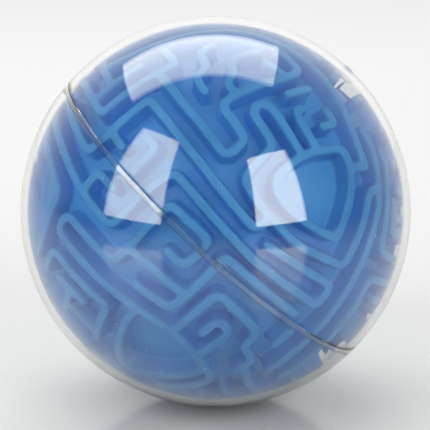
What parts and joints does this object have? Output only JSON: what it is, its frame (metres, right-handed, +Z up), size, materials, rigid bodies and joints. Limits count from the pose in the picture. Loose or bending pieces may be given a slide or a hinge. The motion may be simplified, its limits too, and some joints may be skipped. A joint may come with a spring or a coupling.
{
  "type": "maze ball",
  "caption": "Clear hand-held ball in two halves round a hollow core with raised maze walls; a loose steel bead rolls along the corridors.",
  "frame": {"origin": "centre of the ball", "axes": "+Z up as the ball stands, +X to the viewer's right, -Y towards the viewer; the ball's polar axis, through the two moulding pips, leans 42.4 degrees from +Z towards +X"},
  "size_m": [0.12, 0.12, 0.12],
  "materials": {
    "clear_plastic": "clear polystyrene, moulded gloss",
    "blue_plastic": "opaque blue, satin gloss",
    "wall_blue": "opaque blue, satin gloss; the same moulding as the core half it stands on",
    "steel": "polished bearing steel"
  },
  "bodies": {
    "ball": {"shell_upper": "clear_plastic", "shell_lower": "clear_plastic", "core_upper": "blue_plastic", "core_lower": "blue_plastic", "upper_front_walls": "wall_blue", "upper_rear_walls": "wall_blue", "lower_front_walls": "wall_blue", "lower_rear_walls": "wall_blue"},
    "bead": {"bead": "steel"}
  },
  "joints": [
    {"name": "bead_roll", "type": "hinge", "parent": "ball", "child": "bead", "pos_m": [0, 0, 0], "axis": [0.7637, 0.2685, 0.5871], "range_deg": [0, 28]}
  ]
}
